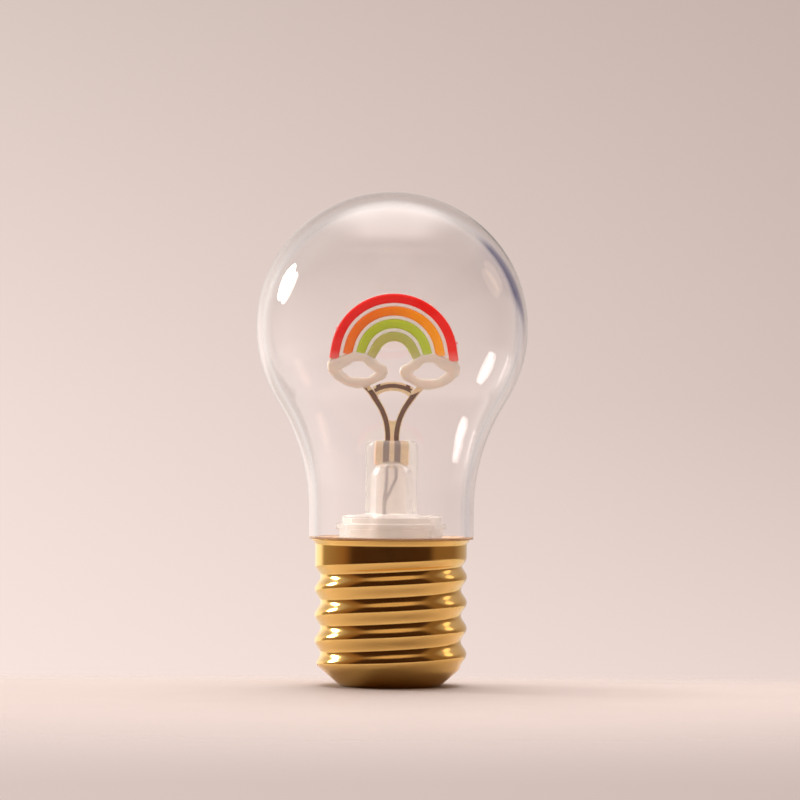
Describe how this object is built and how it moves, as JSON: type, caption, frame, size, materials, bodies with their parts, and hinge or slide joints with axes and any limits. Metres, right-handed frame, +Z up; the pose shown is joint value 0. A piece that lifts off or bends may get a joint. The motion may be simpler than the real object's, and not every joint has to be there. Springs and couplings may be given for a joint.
{
  "type": "rainbow bulb lamp",
  "caption": "Cordless table lamp shaped as a clear bulb on a gold screw base, holding a flat rainbow of coloured LED strips with cloud ends on a clear stem.",
  "frame": {"origin": "centre of the foot, on the surface that the lamp stands on", "axes": "+Z up along the bulb's axis; the rainbow's face looks along -Y, so +X is to its right"},
  "size_m": [0.0798, 0.0798, 0.145],
  "materials": {
    "gold_plating": "vacuum-plated gold, satin gloss",
    "gold_cover": "vacuum-plated gold, fine matt",
    "clear_bulb": "clear polished plastic",
    "clear_stem": "clear moulded plastic",
    "plated_screw": "zinc-plated",
    "bare_board": "bare glass-epoxy board",
    "copper_trace": "dark lacquered copper",
    "led_chip": "phosphor gel",
    "red_silicone": "soft gloss silicone",
    "orange_silicone": "soft gloss silicone",
    "lime_silicone": "soft gloss silicone",
    "olive_silicone": "soft gloss silicone",
    "milky_silicone": "milky soft gloss silicone",
    "lead_insulation": "smooth insulation",
    "white_plastic": "moulded white plastic",
    "cell_can": "plain wrapped can",
    "nickel_contact": "nickel-plated strip",
    "resistor_body": "lacquered ceramic",
    "black_plastic": "moulded black plastic"
  },
  "bodies": {
    "root": {"base_shell": "gold_plating", "bulb_envelope": "clear_bulb", "stem_post": "clear_stem", "stem_screws": "plated_screw", "led_board": "bare_board", "board_traces": "copper_trace", "led_chips": "led_chip", "red_filament": "red_silicone", "orange_filament": "orange_silicone", "lime_filament": "lime_silicone", "olive_filament": "olive_silicone", "cloud_left": "milky_silicone", "cloud_right": "milky_silicone", "lead_wire_positive": "lead_insulation", "lead_wire_negative": "lead_insulation", "battery_holder": "white_plastic", "battery_cell_front": "cell_can", "battery_cell_left": "cell_can", "battery_cell_right": "cell_can", "top_positive_contact": "nickel_contact", "top_bridge_contact": "nickel_contact", "lead_strip": "nickel_contact", "battery_strip": "nickel_contact", "series_resistor": "resistor_body", "switch_body": "black_plastic", "switch_terminals": "nickel_contact"},
    "carrier": {"contact_carrier": "white_plastic", "bottom_bridge_contact": "nickel_contact", "bottom_terminal_contact": "nickel_contact"},
    "cover": {"battery_cover": "gold_cover"},
    "knob": {"switch_knob": "black_plastic"}
  },
  "joints": [
    {"name": "cover_drop", "type": "slide", "parent": "root", "child": "carrier", "axis": [0, 0, -1], "range_m": [0, 0.003]},
    {"name": "cover_turn", "type": "hinge", "parent": "carrier", "child": "cover", "pos_m": [0, 0, 0.0003], "axis": [0, 0, -1], "range_deg": [0, 60]},
    {"name": "switch_slide", "type": "slide", "parent": "root", "child": "knob", "axis": [1, 0, 0], "range_m": [0, 0.002]}
  ],
  "couplings": [
    {"joint": "cover_turn", "follows": "cover_drop", "rad_per_m": 349.07}
  ]
}
